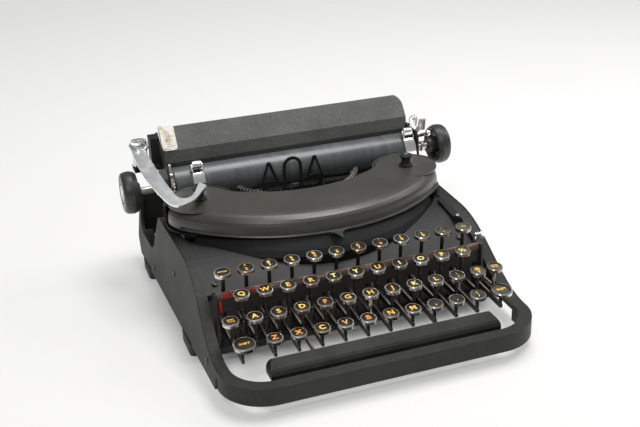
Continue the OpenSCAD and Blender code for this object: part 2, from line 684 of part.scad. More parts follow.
module table_mask() {
    w = table_r - table_l;
    top = table_line[3].y + 1;
    corner = 10;
    translate([table_l, 80]) square([w, top - corner - 80]);
    translate([table_l, top - corner]) square([w - corner, corner]);
    translate([table_r - corner, top - corner]) circle(corner);
}
module paper_table() color(body_grey) {
    intersection() {
        translate([table_l, 0, 0]) yz(table_r - table_l) {
            link2d(table_line[0], table_line[1], table_t);
            link2d(table_line[1], table_line[2], table_t);
            link2d(table_line[2], table_line[3], table_t);
        }
        translate([0, 90, 0]) xz(60) table_mask();
    }
    for (x = [table_l + 4, right_x - 4]) translate([x, 0, 0]) yz(2) difference() {
        union() {
            polygon([table_line[0], table_line[1], table_line[2], [130, 118], table_rod]);
            translate(table_rod) circle(3);
        }
        translate(table_rod) circle(1.5);
    }
}
module paper_guide() color(nickel) {
    lean = table_line[3] - table_line[2];
    a = atan2(lean.y, lean.x);
    translate([table_l + 0.2, table_line[2].x, table_line[2].y]) rotate([a, 0, 0]) {
        translate([guide_w / 2, 6.5, table_t / 2 + 0.2]) linear_extrude(1)
            rounded(guide_w, 13, 3);
        translate([0, 6.5, table_t / 2 + 0.2]) cube([guide_w, norm(lean) - 5.5, 1]);
        translate([0, norm(lean) + 1, -table_t / 2 - 1.2]) cube([guide_w, 1, table_t + 2.4]);
        translate([0, norm(lean) - 9, -table_t / 2 - 1.2]) cube([guide_w, 10, 1]);
    }
}

// A paper finger at x; its wheel stands on the platen at the angle turn
module finger(x, turn) translate([x, 0, 0]) {
    wheel = platen + (platen_r + wheel_r + 0.3) * [cos(turn), sin(turn)];
    tip = platen + (platen_r + 2.1) * [cos(turn + 16), sin(turn + 16)];
    yz(11) difference() {
        union() {
            intersection() {
                translate(platen) difference() {
                    circle(platen_r + 1.5);
                    circle(platen_r + 0.7);
                }
                polygon([[80, 80], [tip.x, 80], tip, [80, 112]]);
            }
            link2d([platen.x - platen_r - 0.7, 81], finger_pin + [0, 1.5], 1.8);
            translate(finger_pin) circle(2);
        }
        translate(finger_pin) circle(0.8 + fit);
    }
    for (dx = [0, 10]) translate([dx, 0, 0]) yz(1) link2d(tip, wheel, 3);
    translate([0.5, wheel.x, wheel.y]) rod_x(10, 0.9);
    translate([1.6, wheel.x, wheel.y]) rod_x(7.8, wheel_r);
}
module paper_finger_left() color(nickel) finger(finger_xs[0], finger_turns[0]);
module paper_finger_right() color(nickel) finger(finger_xs[1], finger_turns[1]);

module return_lever() color(nickel) translate([lever_pivot.x, lever_pivot.y, lever_z]) {
    translate([0, 0, -20]) difference() {
        cylinder(h = 20, r = 7);
        translate([0, 0, -1]) cylinder(h = 25, r = 3 + fit);
    }
    rotate([lever_tilt, 0, 0]) translate([0, 0, -3]) {
        linear_extrude(2) difference() {
            union() {
                polygon(concat(bez([-8.2, -3], [-8.6, -35], [-6.5, -62], [2.5, -93], 6),
                    bez([3, -95], [7, -109], [14, -113], [29, -100], 8),
                    [[42, -84], [37.5, -76.5]],
                    bez([30, -91], [24.5, -101], [16, -101], [13.3, -91], 8),
                    bez([12.9, -89], [8, -62], [5, -35], [4, -8], 6)));
                circle(9);
            }
            circle(5);
        }
    }
}
module lever_pivot_screw() color(nickel) translate([lever_pivot.x, lever_pivot.y, lever_z + screw_gap])
    difference() {
        cylinder(h = 2.5, r = 7);
        translate([-8, -0.7, 1.5]) cube([16, 1.4, 3]);
    }
module line_pawl() color(nickel) translate([left_plate + end_t + 0.3, 0, 0]) yz(2.4)
    difference() {
        union() {
            link2d(pawl_pin, pawl_pin - [4.5, 9], 3);
            link2d(pawl_pin, pawl_pin + [3.5, 8.5], 3);
            translate(pawl_pin) circle(2.4);
        }
        translate(pawl_pin) circle(1.2 + fit);
    }

// A lever arm of thickness 2 from its pin at p to q
module arm(p, q, w) yz(2) difference() {
    union() {
        translate(p) circle(4);
        link2d(p, q, w);
    }
    translate(p) circle(2 + fit);
}
module paper_release() color(nickel) translate([right_plate + end_t + 0.4, 0, 0]) {
    arm([122, 96], [116.5, 108.5], 4);
    translate([0, 115.7, 106.5]) rotate([12, 0, 0]) xz(1.6) {
        square([8, 8]);
        translate([4, 8]) circle(4);
    }
}
module carriage_release() color(steel_dark) translate([right_plate + end_t + 9, 0, 0]) {
    arm(release_pin, [115, 104], 4);
    translate([0, 113, 102]) rotate([12, 0, 0]) cube([7, 1.6, 12]);
}
module platen_clutch_lever() color(nickel) translate([right_plate + end_t + 12.7, 0, 0]) {
    arm(release_pin, [101.5, 102], 3.4);
    translate([1, 100.5, 102.5]) sphere(3.2);
}

module margin_stop(x) color(nickel) translate([x, margin_rail.x, margin_rail.y]) difference() {
    translate([-4, -4.5, -3.6]) cube([8, 9, 12]);
    translate([-5, 0, 0]) rod_x(10, 2.5 + fit);
}
module margin_stop_left() margin_stop(left_x + 45);
module margin_stop_right() margin_stop(right_x - 45);

base_frame();
rubber_feet();
inner_plates();
back_plate();
deck_panel();
basket_shroud();
spool_cups();
key_comb();
lever_shaft();
type_segment();
typebars();
card_holders();
signal_bell();
side_latch();
ribbon_selector();
ribbon_cover();
cover_knobs();
ribbon_spool_left();
ribbon_spool_right();
ribbon_vibrator();
row_levers(row_number);  // number_row_levers
row_rings(row_number);  // number_row_rings
row_discs(row_number);  // number_row_discs
row_levers(row_upper);  // upper_row_levers
row_rings(row_upper);  // upper_row_rings
row_discs(row_upper);  // upper_row_discs
row_levers(row_home);  // home_row_levers
row_rings(row_home);  // home_row_rings
row_discs(row_home);  // home_row_discs
row_levers(row_lower);  // lower_row_levers
row_rings(row_lower);  // lower_row_rings
row_discs(row_lower);  // lower_row_discs
shift_levers();
shift_rings();
shift_discs();
backspace_key();
key_h();
typebar_h();
space_bar();
space_bar_arms();
carriage_bed();
carriage_frame();
platen_rubber();
platen_core();
platen_knobs();
ratchet_wheel();
feed_roller();
paper_table();
paper_guide();
paper_finger_left();
paper_finger_right();
return_lever();
lever_pivot_screw();
line_pawl();
paper_release();
carriage_release();
platen_clutch_lever();
margin_stop_left();
margin_stop_right();
mainspring_drum();
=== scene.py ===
# %% [markdown]
# # Dressing a portable typewriter
# The solids of the machine come from CAD, already in place and in metres.
# This notebook gives each of them its finish, and adds the small things that
# the solids leave out: key legends, screws, felts, scales and the characters
# on the type slugs.

# %% Load the frame
import bmesh
import bpy
import math
from mathutils import Matrix, Vector


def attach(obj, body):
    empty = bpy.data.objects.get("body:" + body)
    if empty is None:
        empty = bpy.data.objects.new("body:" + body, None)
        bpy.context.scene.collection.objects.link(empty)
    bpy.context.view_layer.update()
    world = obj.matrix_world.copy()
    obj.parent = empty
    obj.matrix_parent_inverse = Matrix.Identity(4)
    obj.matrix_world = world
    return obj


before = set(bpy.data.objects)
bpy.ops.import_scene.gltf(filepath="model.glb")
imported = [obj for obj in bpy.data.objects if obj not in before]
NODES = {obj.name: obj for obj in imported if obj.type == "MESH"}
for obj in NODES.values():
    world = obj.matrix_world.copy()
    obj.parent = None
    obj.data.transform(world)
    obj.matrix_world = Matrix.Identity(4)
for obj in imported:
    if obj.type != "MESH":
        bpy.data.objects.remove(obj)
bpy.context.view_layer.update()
MM = 0.001

# %% [markdown]
# ## Finishes
# Every finish is a small node tree on one shader. One helper makes the empty
# material, and the others add noise, ramps, blends, sums and bumps, so that
# each finish below reads as a short recipe.

# %% Helpers for finishes
BEVEL_SAMPLES = 4


def new_finish(name, roughness, metallic=0.0, coat=0.0, coat_roughness=0.1, specular=0.5):
    material = bpy.data.materials.new(name)
    material.use_nodes = True
    shader = material.node_tree.nodes["Principled BSDF"]
    shader.inputs["Roughness"].default_value = roughness
    shader.inputs["Metallic"].default_value = metallic
    shader.inputs["Coat Weight"].default_value = coat
    shader.inputs["Coat Roughness"].default_value = coat_roughness
    shader.inputs["Specular IOR Level"].default_value = specular
    return material, material.node_tree, shader


def place(tree):
    """The point on the piece, in metres."""
    found = tree.nodes.get("Place")
    if not found:
        found = tree.nodes.new("ShaderNodeTexCoord")
        found.name = "Place"
    return found.outputs["Object"]


def parts_of(tree, vector):
    """The X, Y and Z of a vector, each to be used by itself."""
    split = tree.nodes.new("ShaderNodeSeparateXYZ")
    tree.links.new(vector, split.inputs[0])
    return split.outputs


def true_normal(tree):
    """Which way the face looks, without bumps."""
    return tree.nodes.new("ShaderNodeNewGeometry").outputs["True Normal"]


def stretched(tree, scale, turn=(0, 0, 0)):
    node = tree.nodes.new("ShaderNodeMapping")
    node.inputs["Scale"].default_value = scale
    node.inputs["Rotation"].default_value = turn
    tree.links.new(place(tree), node.inputs["Vector"])
    return node.outputs["Vector"]


def noise(tree, scale, detail=4.0, roughness=0.55, vector=None, seed=0.0):
    node = tree.nodes.new("ShaderNodeTexNoise")
    node.noise_dimensions = "4D"
    node.inputs["W"].default_value = seed
    node.inputs["Scale"].default_value = scale
    node.inputs["Detail"].default_value = detail
    node.inputs["Roughness"].default_value = roughness
    tree.links.new(vector or place(tree), node.inputs["Vector"])
    return node.outputs["Fac"]


def cells(tree, scale):
    node = tree.nodes.new("ShaderNodeTexVoronoi")
    node.inputs["Scale"].default_value = scale
    tree.links.new(place(tree), node.inputs["Vector"])
    return node.outputs["Distance"]


def ramp(tree, value, stops):
    """Turns a 0 to 1 value into a colour; each stop is a position and a colour."""
    node = tree.nodes.new("ShaderNodeValToRGB")
    bar = node.color_ramp.elements
    while len(bar) < len(stops):
        bar.new(0.5)
    for element, (position, colour) in zip(bar, stops):
        element.position = position
        element.color = (*colour, 1.0) if len(colour) == 3 else colour
    tree.links.new(value, node.inputs["Fac"])
    return node.outputs["Color"]


def grey(value):
    return (value, value, value)


def blend(tree, amount, low, high):
    """From the colour low to the colour high."""
    node = tree.nodes.new("ShaderNodeMix")
    node.data_type = "RGBA"
    for socket, value in zip((node.inputs[0], node.inputs[6], node.inputs[7]),
                             (amount, low, high)):
        if isinstance(value, bpy.types.NodeSocket):
            tree.links.new(value, socket)
        elif isinstance(value, tuple):
            socket.default_value = (*value, 1.0)
        else:
            socket.default_value = value
    return node.outputs[2]


def maths(tree, operation, *values):
    """A sum or product of values or sockets, kept between 0 and 1."""
    node = tree.nodes.new("ShaderNodeMath")
    node.operation = operation
    node.use_clamp = True
    for socket, value in zip(node.inputs, values):
        if isinstance(value, bpy.types.NodeSocket):
            tree.links.new(value, socket)
        else:
            socket.default_value = value
    return node.outputs[0]


def bump(tree, shader, height, distance, strength=1.0, rounding=0.0003):
    """A bump on top of slightly rounded edges."""
    node = tree.nodes.new("ShaderNodeBump")
    if rounding:
        soft = tree.nodes.new("ShaderNodeBevel")
        soft.samples = BEVEL_SAMPLES
        soft.inputs["Radius"].default_value = rounding
        tree.links.new(soft.outputs["Normal"], node.inputs["Normal"])
    node.inputs["Strength"].default_value = strength
    node.inputs["Distance"].default_value = distance
    tree.links.new(height, node.inputs["Height"])
    tree.links.new(node.outputs["Normal"], shader.inputs["Normal"])


def edge_wear(tree, width, low=0.02, high=0.12):
    """1 along sharp edges, 0 elsewhere, from how far a rounded normal turns away."""
    rounded = tree.nodes.new("ShaderNodeBevel")
    rounded.samples = BEVEL_SAMPLES
    rounded.inputs["Radius"].default_value = width
    plain = tree.nodes.new("ShaderNodeNewGeometry")
    dot = tree.nodes.new("ShaderNodeVectorMath")
    dot.operation = "DOT_PRODUCT"
    tree.links.new(rounded.outputs["Normal"], dot.inputs[0])
    tree.links.new(plain.outputs["Normal"], dot.inputs[1])
    turned = maths(tree, "SUBTRACT", 1.0, dot.outputs["Value"])
    return ramp(tree, turned, ((low, grey(0)), (high, grey(1))))


print("finish helpers ready")

# %% [markdown]
# ## Enamel
# The frame, deck and cover are steel sheet in a satin enamel. Up close it has
# a fine orange-peel skin, soft clouds of grey where hands and dust have dulled
# it, scattered pale specks, and thin brighter lines where the edges are rubbed.
# One recipe serves all of them, with other colours and another gloss.

# %% Enamel
def enamel(name, colour, roughness, dust=0.5, wear=0.35, specks=1.0, specular=0.25):
    material, tree, shader = new_finish(name, roughness, specular=specular)
    base = Vector(colour)
    mottle = maths(tree, "MULTIPLY", noise(tree, 420, 3, 0.6, seed=12.0), 0.45)
    clouds = maths(tree, "ADD", maths(tree, "MULTIPLY", noise(tree, 22, 5, 0.6), 0.55), mottle)
    skin = ramp(tree, clouds, ((0.32, tuple(base * 0.66)), (0.50, tuple(base)),
                               (0.70, tuple(base * 1.40 + Vector((0.006, 0.006, 0.005)) * dust))))
    speck = ramp(tree, cells(tree, 240), ((0.0, grey(1)), (0.055, grey(0))))
    rare = ramp(tree, noise(tree, 60, 2, seed=3.1), ((0.56, grey(0)), (0.62, grey(1))))
    speck = maths(tree, "MULTIPLY", speck, rare)
    speck = maths(tree, "MULTIPLY", speck, 0.35 * specks)
    dusty = blend(tree, speck, skin, (0.26, 0.25, 0.22))
    scratch = noise(tree, 1.0, 6, 0.7, stretched(tree, (900, 60, 300), (0.3, 0.4, 0.7)), 7.0)
    scratch = ramp(tree, scratch, ((0.68, grey(0)), (0.72, grey(1))))
    scratch = maths(tree, "MULTIPLY", scratch, 0.10)
    scratched = blend(tree, scratch, dusty, (0.20, 0.20, 0.18))
    rubbed = maths(tree, "MULTIPLY", edge_wear(tree, 0.0009),
                   ramp(tree, noise(tree, 90, 4, seed=5.0), ((0.40, grey(0)), (0.62, grey(1)))))
    rubbed = maths(tree, "MULTIPLY", rubbed, wear)
    tree.links.new(blend(tree, rubbed, scratched, (0.20, 0.195, 0.18)), shader.inputs["Base Color"])
    hazy = noise(tree, 35, 4, seed=1.7)
    shine = maths(tree, "ADD", maths(tree, "MULTIPLY", hazy, 0.22), roughness - 0.11)
    tree.links.new(shine, shader.inputs["Roughness"])
    peel = noise(tree, 1400, 2, 0.5, seed=2.0)
    bump(tree, shader, peel, 0.00006, 0.7)
    return material


frame_enamel = enamel("frame_enamel", (0.028, 0.028, 0.026), 0.56, specular=0.18)
cover_enamel = enamel("cover_enamel", (0.030, 0.028, 0.021), 0.40, dust=1.2, wear=0.25,
                      specular=0.70)
table_enamel = enamel("table_enamel", (0.105, 0.106, 0.100), 0.52, dust=1.0, wear=0.3)
deck_enamel = enamel("deck_enamel", (0.023, 0.0235, 0.0225), 0.56, dust=0.7)
shroud_enamel = enamel("shroud_enamel", (0.0075, 0.008, 0.008), 0.60, dust=0.4, specks=0.7)
print("enamels:", frame_enamel.name, cover_enamel.name, deck_enamel.name, shroud_enamel.name)

# %% [markdown]
# ## Bare metals
# The key rings, type bars and levers are nickel or chrome plate over steel.
# Plate that has been touched for decades turns from mirror to haze, and brown
# where it has worn through. The tarnish is a slow noise that shifts both the
# colour and the roughness, so that each ring differs from its neighbour.

# %% Plate and steel
def plate(name, colour, roughness, tarnish=0.4, tarnish_colour=(0.20, 0.13, 0.08)):
    material, tree, shader = new_finish(name, roughness, metallic=1.0)
    spots = noise(tree, 70, 3, 0.6, seed=4.2)
    spots = ramp(tree, spots, ((0.52, grey(0)), (0.70, grey(1))))
    spots = maths(tree, "MULTIPLY", spots, tarnish)
    tree.links.new(blend(tree, spots, colour, tarnish_colour), shader.inputs["Base Color"])
    haze = maths(tree, "MULTIPLY", noise(tree, 160, 4, seed=6.0), 0.20)
    haze = maths(tree, "ADD", haze, roughness - 0.08)
    haze = maths(tree, "ADD", haze, maths(tree, "MULTIPLY", spots, 0.30))
    tree.links.new(haze, shader.inputs["Roughness"])
    bump(tree, shader, noise(tree, 900, 3, seed=9.0), 0.00003, 0.5)
    return material


def ring_finish():
    """Upward faces painted brighter than the sides as painted highlight and shade; the sides run
    from bright to brown from key to key.
    """
    material, tree, shader = new_finish("ring_nickel", 0.24, metallic=1.0)
    # Painted highlight and shade: faces that look up take the light top colours, the sides the
    # darker ones.
    rim = ramp(tree, parts_of(tree, true_normal(tree))["Z"], ((0.35, grey(0)), (0.75, grey(1))))
    wear = ramp(tree, noise(tree, 34, 2, 0.5, seed=4.2), ((0.42, grey(0)), (0.60, grey(1))))
    side = blend(tree, wear, (0.22, 0.17, 0.14), (0.64, 0.62, 0.58))
    top = blend(tree, wear, (0.62, 0.52, 0.42), (0.90, 0.88, 0.84))
    tree.links.new(blend(tree, rim, side, top), shader.inputs["Base Color"])
    haze = maths(tree, "ADD", maths(tree, "MULTIPLY", noise(tree, 120, 3, seed=6.0), 0.14), 0.16)
    tree.links.new(haze, shader.inputs["Roughness"])
    return material


ring_nickel = ring_finish()
chrome = plate("lever_chrome", (0.92, 0.92, 0.90), 0.18, 0.35, (0.45, 0.38, 0.30))
bar_nickel = plate("bar_nickel", (0.26, 0.24, 0.21), 0.36, 0.6)
satin = plate("satin_chrome", (0.64, 0.65, 0.65), 0.34, 0.4, (0.48, 0.44, 0.38))
guide_plate = plate("guide_plate", (0.74, 0.72, 0.67), 0.38, 1.0, (0.34, 0.24, 0.15))
nickel = plate("part_nickel", (0.52, 0.50, 0.45), 0.30, 0.6)
brass = plate("drum_brass", (0.52, 0.40, 0.20), 0.34, 0.6, (0.16, 0.10, 0.05))


def dark_steel(name, colour, rust, roughness=0.42):
    material, tree, shader = new_finish(name, roughness, metallic=0.35)
    patches = ramp(tree, noise(tree, 45, 6, 0.7, seed=1.0), ((0.42, grey(0)), (0.66, grey(1))))
    patches = maths(tree, "MULTIPLY", patches, 0.8)
    rubbed = maths(tree, "MULTIPLY", edge_wear(tree, 0.0005), 0.5)
    mixed = blend(tree, patches, colour, rust)
    tree.links.new(blend(tree, rubbed, mixed, (0.22, 0.20, 0.18)), shader.inputs["Base Color"])
    bump(tree, shader, noise(tree, 700, 4, 0.7, seed=2.0), 0.00008, 0.6)
    return material


def steel_with_painted_top_highlight(name, dark, bright, streak):
    """Dark sides, and upward faces painted lighter in bright streaks, a painted highlight."""
    material, tree, shader = new_finish(name, 0.45, metallic=0.3)
    # Painted highlight: faces that look up are painted in the bright streaked colour, the others
    # stay dark.
    lit_upward_faces = ramp(tree, parts_of(tree, true_normal(tree))["Z"],
                  ((0.55, grey(0)), (0.80, grey(1))))
    bands = noise(tree, 1.0, 4, 0.6, stretched(tree, streak), 3.0)
    bands = ramp(tree, bands, ((0.35, grey(0.15)), (0.60, grey(1))))
    tree.links.new(blend(tree, maths(tree, "MULTIPLY", lit_upward_faces, bands), dark, bright),
                   shader.inputs["Base Color"])
    bump(tree, shader, noise(tree, 700, 4, 0.7, seed=2.0), 0.00006, 0.5)
    return material


lever_steel = steel_with_painted_top_highlight("lever_steel", (0.014, 0.012, 0.011), (0.30, 0.26, 0.23), (90, 60, 90))
plate_steel = dark_steel("plate_steel", (0.022, 0.019, 0.018), (0.045, 0.022, 0.017))


def comb_finish():
    """Rust-brown and streaked along its upper edge; below it painted shade makes it nearly black.
    """
    material, tree, shader = new_finish("comb_steel", 0.6, metallic=0.1)
    # Painted shade: below the upper edge, behind the key levers, the comb is painted nearly black.
    height = maths(tree, "MULTIPLY", parts_of(tree, place(tree))["Z"], 10.0)
    high = ramp(tree, height, ((0.545, grey(0)), (0.590, grey(1))))
    streaks = ramp(tree, noise(tree, 1.0, 5, 0.7, stretched(tree, (45, 300, 500)), 5.0),
                   ((0.38, (0.075, 0.040, 0.032)), (0.52, (0.210, 0.140, 0.115)),
                    (0.66, (0.480, 0.390, 0.330))))
    tree.links.new(blend(tree, high, (0.016, 0.009, 0.008), streaks), shader.inputs["Base Color"])
    bump(tree, shader, noise(tree, 500, 4, 0.7, seed=2.0), 0.0001, 0.6)
    return material


comb_steel = comb_finish()
dark_screw = dark_steel("screw_steel", (0.020, 0.019, 0.018), (0.045, 0.028, 0.020), 0.38)
slug_metal = plate("slug_metal", (0.46, 0.45, 0.43), 0.42, 0.5, (0.10, 0.09, 0.08))


def print_and_shade_line(name, colour, worn):
    """A thin line, worn in patches: printed ink for scales and marks, painted shade for the dark
    lines in grooves and gaps.
    """
    material, tree, shader = new_finish(name, 0.6)
    patches = ramp(tree, noise(tree, 300, 3, seed=3.0), ((0.40, grey(0)), (0.62, grey(1))))
    tree.links.new(blend(tree, patches, colour, worn), shader.inputs["Base Color"])
    bump(tree, shader, patches, 0.00003, 0.4, 0)
    return material


# Painted shade: this near-black line stands for the shade inside the shoulder grooves and the gaps
# round the lids.
seam_dark = print_and_shade_line("seam_dark", (0.006, 0.006, 0.006), (0.014, 0.013, 0.012))
scale_white = print_and_shade_line("scale_white", (0.55, 0.54, 0.50), (0.30, 0.29, 0.26))
worn_ink = print_and_shade_line("worn_ink", (0.16, 0.09, 0.04), (0.34, 0.27, 0.20))
print("metals:", ring_nickel.name, chrome.name, nickel.name, lever_steel.name)

# %% [markdown]
# ## Rubber, hard rubber and the key discs
# The platen is a hard rubber roll, blue-grey, polished and dented by the type
# and streaked lengthwise by paper. Knobs and space bar are black hard rubber
# with a soft gloss. A key disc is black card under a clear domed lens, so it
# is nearly black with a thin clear coat; the cards turn greyer towards the right.

# %% Rubber and discs
def platen_finish():
    material, tree, shader = new_finish("platen_rubber", 0.36, specular=0.5)
    streaks = noise(tree, 1.0, 6, 0.65, stretched(tree, (130, 22, 22)), 1.0)
    body = ramp(tree, streaks, ((0.30, (0.050, 0.056, 0.058)), (0.55, (0.078, 0.085, 0.087)),
                                (0.78, (0.150, 0.158, 0.160))))
    dents = ramp(tree, noise(tree, 420, 2, seed=3.0), ((0.62, grey(0)), (0.70, grey(1))))
    tree.links.new(blend(tree, maths(tree, "MULTIPLY", dents, 0.25), body, (0.17, 0.18, 0.18)),
                   shader.inputs["Base Color"])
    gloss = maths(tree, "ADD", maths(tree, "MULTIPLY", streaks, 0.30), 0.20)
    tree.links.new(gloss, shader.inputs["Roughness"])
    bump(tree, shader, noise(tree, 380, 3, seed=5.0), 0.00012, 0.5)
    return material


def hard_rubber(name, colour, roughness, wear=0.3, specular=0.5):
    material, tree, shader = new_finish(name, roughness, specular=specular)
    base = Vector(colour)
    clouds = noise(tree, 40, 5, 0.6, seed=2.0)
    bloom = Vector((0.003, 0.003, 0.003))
    skin = ramp(tree, clouds, ((0.35, tuple(base * 0.8)), (0.7, tuple(base * 1.5 + bloom))))
    rubbed = maths(tree, "MULTIPLY", edge_wear(tree, 0.0012), wear)
    tree.links.new(blend(tree, rubbed, skin, (0.14, 0.14, 0.13)), shader.inputs["Base Color"])
    hazy = noise(tree, 80, 4, seed=8.0)
    gloss = maths(tree, "ADD", maths(tree, "MULTIPLY", hazy, 0.24), roughness - 0.12)
    tree.links.new(gloss, shader.inputs["Roughness"])
    bump(tree, shader, noise(tree, 1100, 2, seed=6.0), 0.00004, 0.6)
    return material


def disc_finish():
    material, tree, shader = new_finish("key_disc", 0.5, coat=0.14, coat_roughness=0.08,
                                        specular=0.2)
    card = ramp(tree, noise(tree, 55, 3, seed=2.0),
                ((0.42, (0.007, 0.006, 0.004)), (0.64, (0.020, 0.017, 0.010)),
                 (0.78, (0.060, 0.046, 0.026))))
    # The cards turn greyer towards the right, in patches.
    rightward = maths(tree, "MULTIPLY", parts_of(tree, place(tree))["X"], 5.0)
    greyer_rightwards = ramp(tree, rightward, ((0.20, grey(0)), (0.50, grey(1))))
    patches = ramp(tree, noise(tree, 48, 2, seed=7.0), ((0.42, grey(0.1)), (0.56, grey(1))))
    greyer_rightwards = maths(tree, "MULTIPLY", greyer_rightwards, patches)
    tree.links.new(blend(tree, greyer_rightwards, card, (0.085, 0.085, 0.072)), shader.inputs["Base Color"])
    return material


platen_rubber = platen_finish()
space_rubber = hard_rubber("space_bar_rubber", (0.020, 0.020, 0.019), 0.52, specular=0.12)
knob_rubber = hard_rubber("knob_rubber", (0.024, 0.024, 0.023), 0.40)
foot_rubber = hard_rubber("foot_rubber", (0.018, 0.018, 0.018), 0.72, 0.1)
key_disc = disc_finish()
print("rubbers and discs ready")

# %% [markdown]
# ## Finishes onto the CAD pieces
# Each CAD piece has one material slot. Its name says which finish it takes.

# %% Assign the finishes
FINISH = {
    "base_frame": frame_enamel, "deck_panel": deck_enamel, "basket_shroud": shroud_enamel,
    "spool_cups": shroud_enamel, "ribbon_cover": cover_enamel, "paper_table": table_enamel,
    "side_latch": shroud_enamel, "card_holders": shroud_enamel, "ribbon_vibrator": shroud_enamel,
    "carriage_frame": shroud_enamel, "rubber_feet": foot_rubber, "feed_roller": foot_rubber,
    "inner_plates": plate_steel, "back_plate": plate_steel, "carriage_bed": plate_steel,
    "lever_shaft": nickel, "type_segment": plate_steel, "key_comb": comb_steel,
    "typebars": bar_nickel, "typebar_h": bar_nickel, "signal_bell": nickel, "ratchet_wheel": nickel,
    "platen_core": nickel, "line_pawl": nickel, "margin_stop_left": nickel,
    "margin_stop_right": nickel, "ribbon_spool_left": nickel, "ribbon_spool_right": nickel,
    "carriage_release": nickel, "mainspring_drum": brass, "space_bar": space_rubber,
    "space_bar_arms": lever_steel, "cover_knobs": space_rubber, "platen_knobs": knob_rubber,
    "platen_rubber": platen_rubber, "paper_guide": guide_plate, "paper_finger_left": chrome,
    "paper_finger_right": chrome, "return_lever": satin, "lever_pivot_screw": chrome,
    "paper_release": chrome, "platen_clutch_lever": chrome, "ribbon_selector": chrome,
    "backspace_key": ring_nickel, "key_h": ring_nickel,
}
BY_ENDING = {"_levers": lever_steel, "_rings": ring_nickel, "_discs": key_disc}

for name, node in NODES.items():
    finish = FINISH.get(name)
    for ending, shared in BY_ENDING.items():
        if name.endswith(ending):
            finish = shared
    if not node.material_slots:
        node.data.materials.append(finish)
    for slot in node.material_slots:
        slot.material = finish
print("finished", len(NODES), "CAD pieces")

# %% [markdown]
# ## Working by hand in code
# New pieces are made the way one would at the screen: add a primitive, go into
# edit mode, pick faces or edges, and use the edit tools. These helpers start a
# primitive with nothing else selected, and pick faces by where they are.

# %% Modelling helpers
def deselect():
    if bpy.context.object and bpy.context.object.mode != "OBJECT":
        bpy.ops.object.mode_set(mode="OBJECT")
    bpy.ops.object.select_all(action="DESELECT")


def started(name):
    """Names the primitive that was just added, and puts its place into its mesh."""
    piece = bpy.context.object
    piece.name = name
    piece.data.name = name
    bpy.ops.object.transform_apply(location=True, rotation=True, scale=True)
    return piece


def pick_faces(piece, test):
    """Leaves only the faces that pass the test selected, in edit mode."""
    bpy.ops.object.mode_set(mode="EDIT")
    bpy.ops.mesh.select_mode(type="FACE")
    bpy.ops.mesh.select_all(action="DESELECT")
    mesh = bmesh.from_edit_mesh(piece.data)
    for face in mesh.faces:
        face.select = test(face)
    bmesh.update_edit_mesh(piece.data)


def done_editing(piece, smooth=0.6):
    bpy.ops.object.mode_set(mode="OBJECT")
    bpy.ops.object.shade_smooth_by_angle(angle=smooth)
    return piece


def joined(pieces, name):
    deselect()
    for piece in pieces:
        piece.select_set(True)
    bpy.context.view_layer.objects.active = pieces[0]
    if len(pieces) > 1:
        bpy.ops.object.join()
    whole = bpy.context.object
    whole.name = name
    whole.data.name = name
    return whole


def finished(piece, finish, body):
    piece.data.materials.clear()
    piece.data.materials.append(finish)
    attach(piece, body)
    return piece


print("modelling helpers ready")

# %% [markdown]
# ## Key legends
# The real keys carry printed letters in an old gold, under the lens. Text
# objects are the natural start: each is set, turned into a mesh and laid on
# the leaning disc. All the legends of a row become one piece, because the
# keys of a row move together here.

# %% Where the keys are
PITCH = 19.05 * MM
FIRST_X = -97.5 * MM
KEY_LEAN = math.radians(6)
LENS_TOP = 0.05 * MM
INK_THICK = 0.02 * MM
H_KEY = (FIRST_X + 5.25 * PITCH, -96.5 * MM, 52.9 * MM)
BACKSPACE = (112.8 * MM, -97.0 * MM, 54.0 * MM)
SHIFT_X, SHIFT_Y, SHIFT_Z = (FIRST_X - 0.5 * PITCH, FIRST_X + 10.87 * PITCH), -115 * MM, 42 * MM


def legend_finish():
    material, tree, shader = new_finish("legend_gold", 0.5, coat=0.2, coat_roughness=0.08)
    gold = ramp(tree, noise(tree, 30, 2, seed=11.0),
                ((0.38, (0.98, 0.78, 0.24)), (0.50, (0.92, 0.52, 0.07)),
                 (0.62, (0.80, 0.28, 0.04))))
    tree.links.new(gold, shader.inputs["Base Color"])
    return material


legend_gold = legend_finish()


def lettering(words, size, thickness, bold, steps):
    """Centred text as a mesh, lying flat at the origin."""
    deselect()
    bpy.ops.object.text_add()
    text = bpy.context.object.data
    text.body = words
    text.size = size
    text.align_x = "CENTER"
    text.align_y = "CENTER"
    text.extrude = thickness
    text.offset = size * bold
    text.resolution_u = steps
    bpy.ops.object.convert(target="MESH")
    return bpy.context.object


def legend(words, x, y, z, size, up=0.0):
    """A flat legend on the key whose top is at x, y, z."""
    flat = lettering(words, size, INK_THICK, 0.028, 3)
    lean = Matrix.Rotation(KEY_LEAN, 4, "X")
    flat.data.transform(Matrix.Translation((x, y, z)) @ lean
                        @ Matrix.Translation((0, up, LENS_TOP)))
    return flat


# %% [markdown]
# Each row gives its y and z, the place of its first key, and its labels from
# left to right. A label of two parts is a shifted sign above a plain one, and
# small words stand on the side keys.

# %% Rows of legends
ROWS = {
    "number_row": (-59.9, 76.3, -0.5, ["MARGIN", '"|2', "#|3", "$|4", "%|5", "_|6", "&|7",
                                       "'|8", "(|9", ")|0", "*|-", "TAB"]),
    "upper_row": (-77.8, 63.8, 0.0, list("QWERTYUIOP") + ["½"]),
    "home_row": (-96.5, 52.9, -0.75, ["SHIFT|LOCK"] + list("ASDFGHJKL") + [":|;", "@|¢"]),
    "lower_row": (-115.0, 42.0, 0.75, list("ZXCVBNM") + [",", ".", "?|/"]),
}
WORD, LETTER = 2.1 * MM, 7.3 * MM
WORD_OF_TWO, SIGN_OF_TWO = (2.2 * MM, 1.2 * MM), (4.5 * MM, 2.1 * MM)


